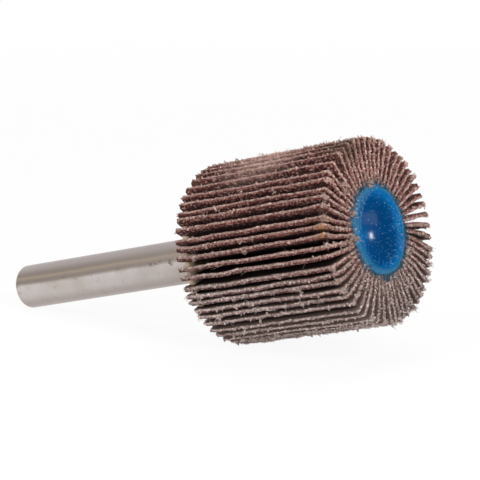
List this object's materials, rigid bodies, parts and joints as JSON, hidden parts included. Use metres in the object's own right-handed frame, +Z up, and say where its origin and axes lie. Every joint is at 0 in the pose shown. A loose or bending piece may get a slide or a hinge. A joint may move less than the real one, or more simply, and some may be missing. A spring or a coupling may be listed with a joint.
{
  "type": "flap wheel",
  "caption": "Abrasive flap wheel: cloth flaps packed round a cast resin hub on a plain round steel shank, lying as it comes to rest.",
  "frame": {"origin": "middle of the ground under the wheel's bounding box, on the surface it lies on", "axes": "+X level, along the shank from its free end towards the domed front of the wheel; +Z up; +Y to the left when looking along +X. The wheel's own axis leans up from +X by 13.918 degrees, because the wheel lies on the flap tips at its back rim and on the free end of its shank."},
  "size_m": [0.0652, 0.0253, 0.0304],
  "materials": {
    "ground_steel": "satin",
    "cast_resin": "gloss",
    "abrasive_cloth": "matte"
  },
  "bodies": {
    "root": {"shank": "ground_steel", "resin_hub": "cast_resin", "flap_01": "abrasive_cloth", "flap_02": "abrasive_cloth", "flap_03": "abrasive_cloth", "flap_04": "abrasive_cloth", "flap_05": "abrasive_cloth", "flap_06": "abrasive_cloth", "flap_07": "abrasive_cloth", "flap_08": "abrasive_cloth", "flap_09": "abrasive_cloth", "flap_10": "abrasive_cloth", "flap_11": "abrasive_cloth", "flap_12": "abrasive_cloth", "flap_13": "abrasive_cloth", "flap_14": "abrasive_cloth", "flap_15": "abrasive_cloth", "flap_16": "abrasive_cloth", "flap_17": "abrasive_cloth", "flap_18": "abrasive_cloth", "flap_19": "abrasive_cloth", "flap_20": "abrasive_cloth", "flap_21": "abrasive_cloth", "flap_22": "abrasive_cloth", "flap_23": "abrasive_cloth", "flap_24": "abrasive_cloth", "flap_25": "abrasive_cloth", "flap_26": "abrasive_cloth", "flap_27": "abrasive_cloth", "flap_28": "abrasive_cloth", "flap_29": "abrasive_cloth", "flap_30": "abrasive_cloth", "flap_31": "abrasive_cloth", "flap_32": "abrasive_cloth", "flap_33": "abrasive_cloth", "flap_34": "abrasive_cloth", "flap_35": "abrasive_cloth", "flap_36": "abrasive_cloth", "flap_37": "abrasive_cloth", "flap_38": "abrasive_cloth", "flap_39": "abrasive_cloth", "flap_40": "abrasive_cloth", "flap_41": "abrasive_cloth", "flap_42": "abrasive_cloth", "flap_43": "abrasive_cloth", "flap_44": "abrasive_cloth", "flap_45": "abrasive_cloth", "flap_46": "abrasive_cloth", "flap_47": "abrasive_cloth", "flap_48": "abrasive_cloth", "flap_49": "abrasive_cloth", "flap_50": "abrasive_cloth", "flap_51": "abrasive_cloth", "flap_52": "abrasive_cloth", "flap_53": "abrasive_cloth", "flap_54": "abrasive_cloth", "flap_55": "abrasive_cloth", "flap_56": "abrasive_cloth", "flap_57": "abrasive_cloth", "flap_58": "abrasive_cloth"}
  },
  "joints": []
}
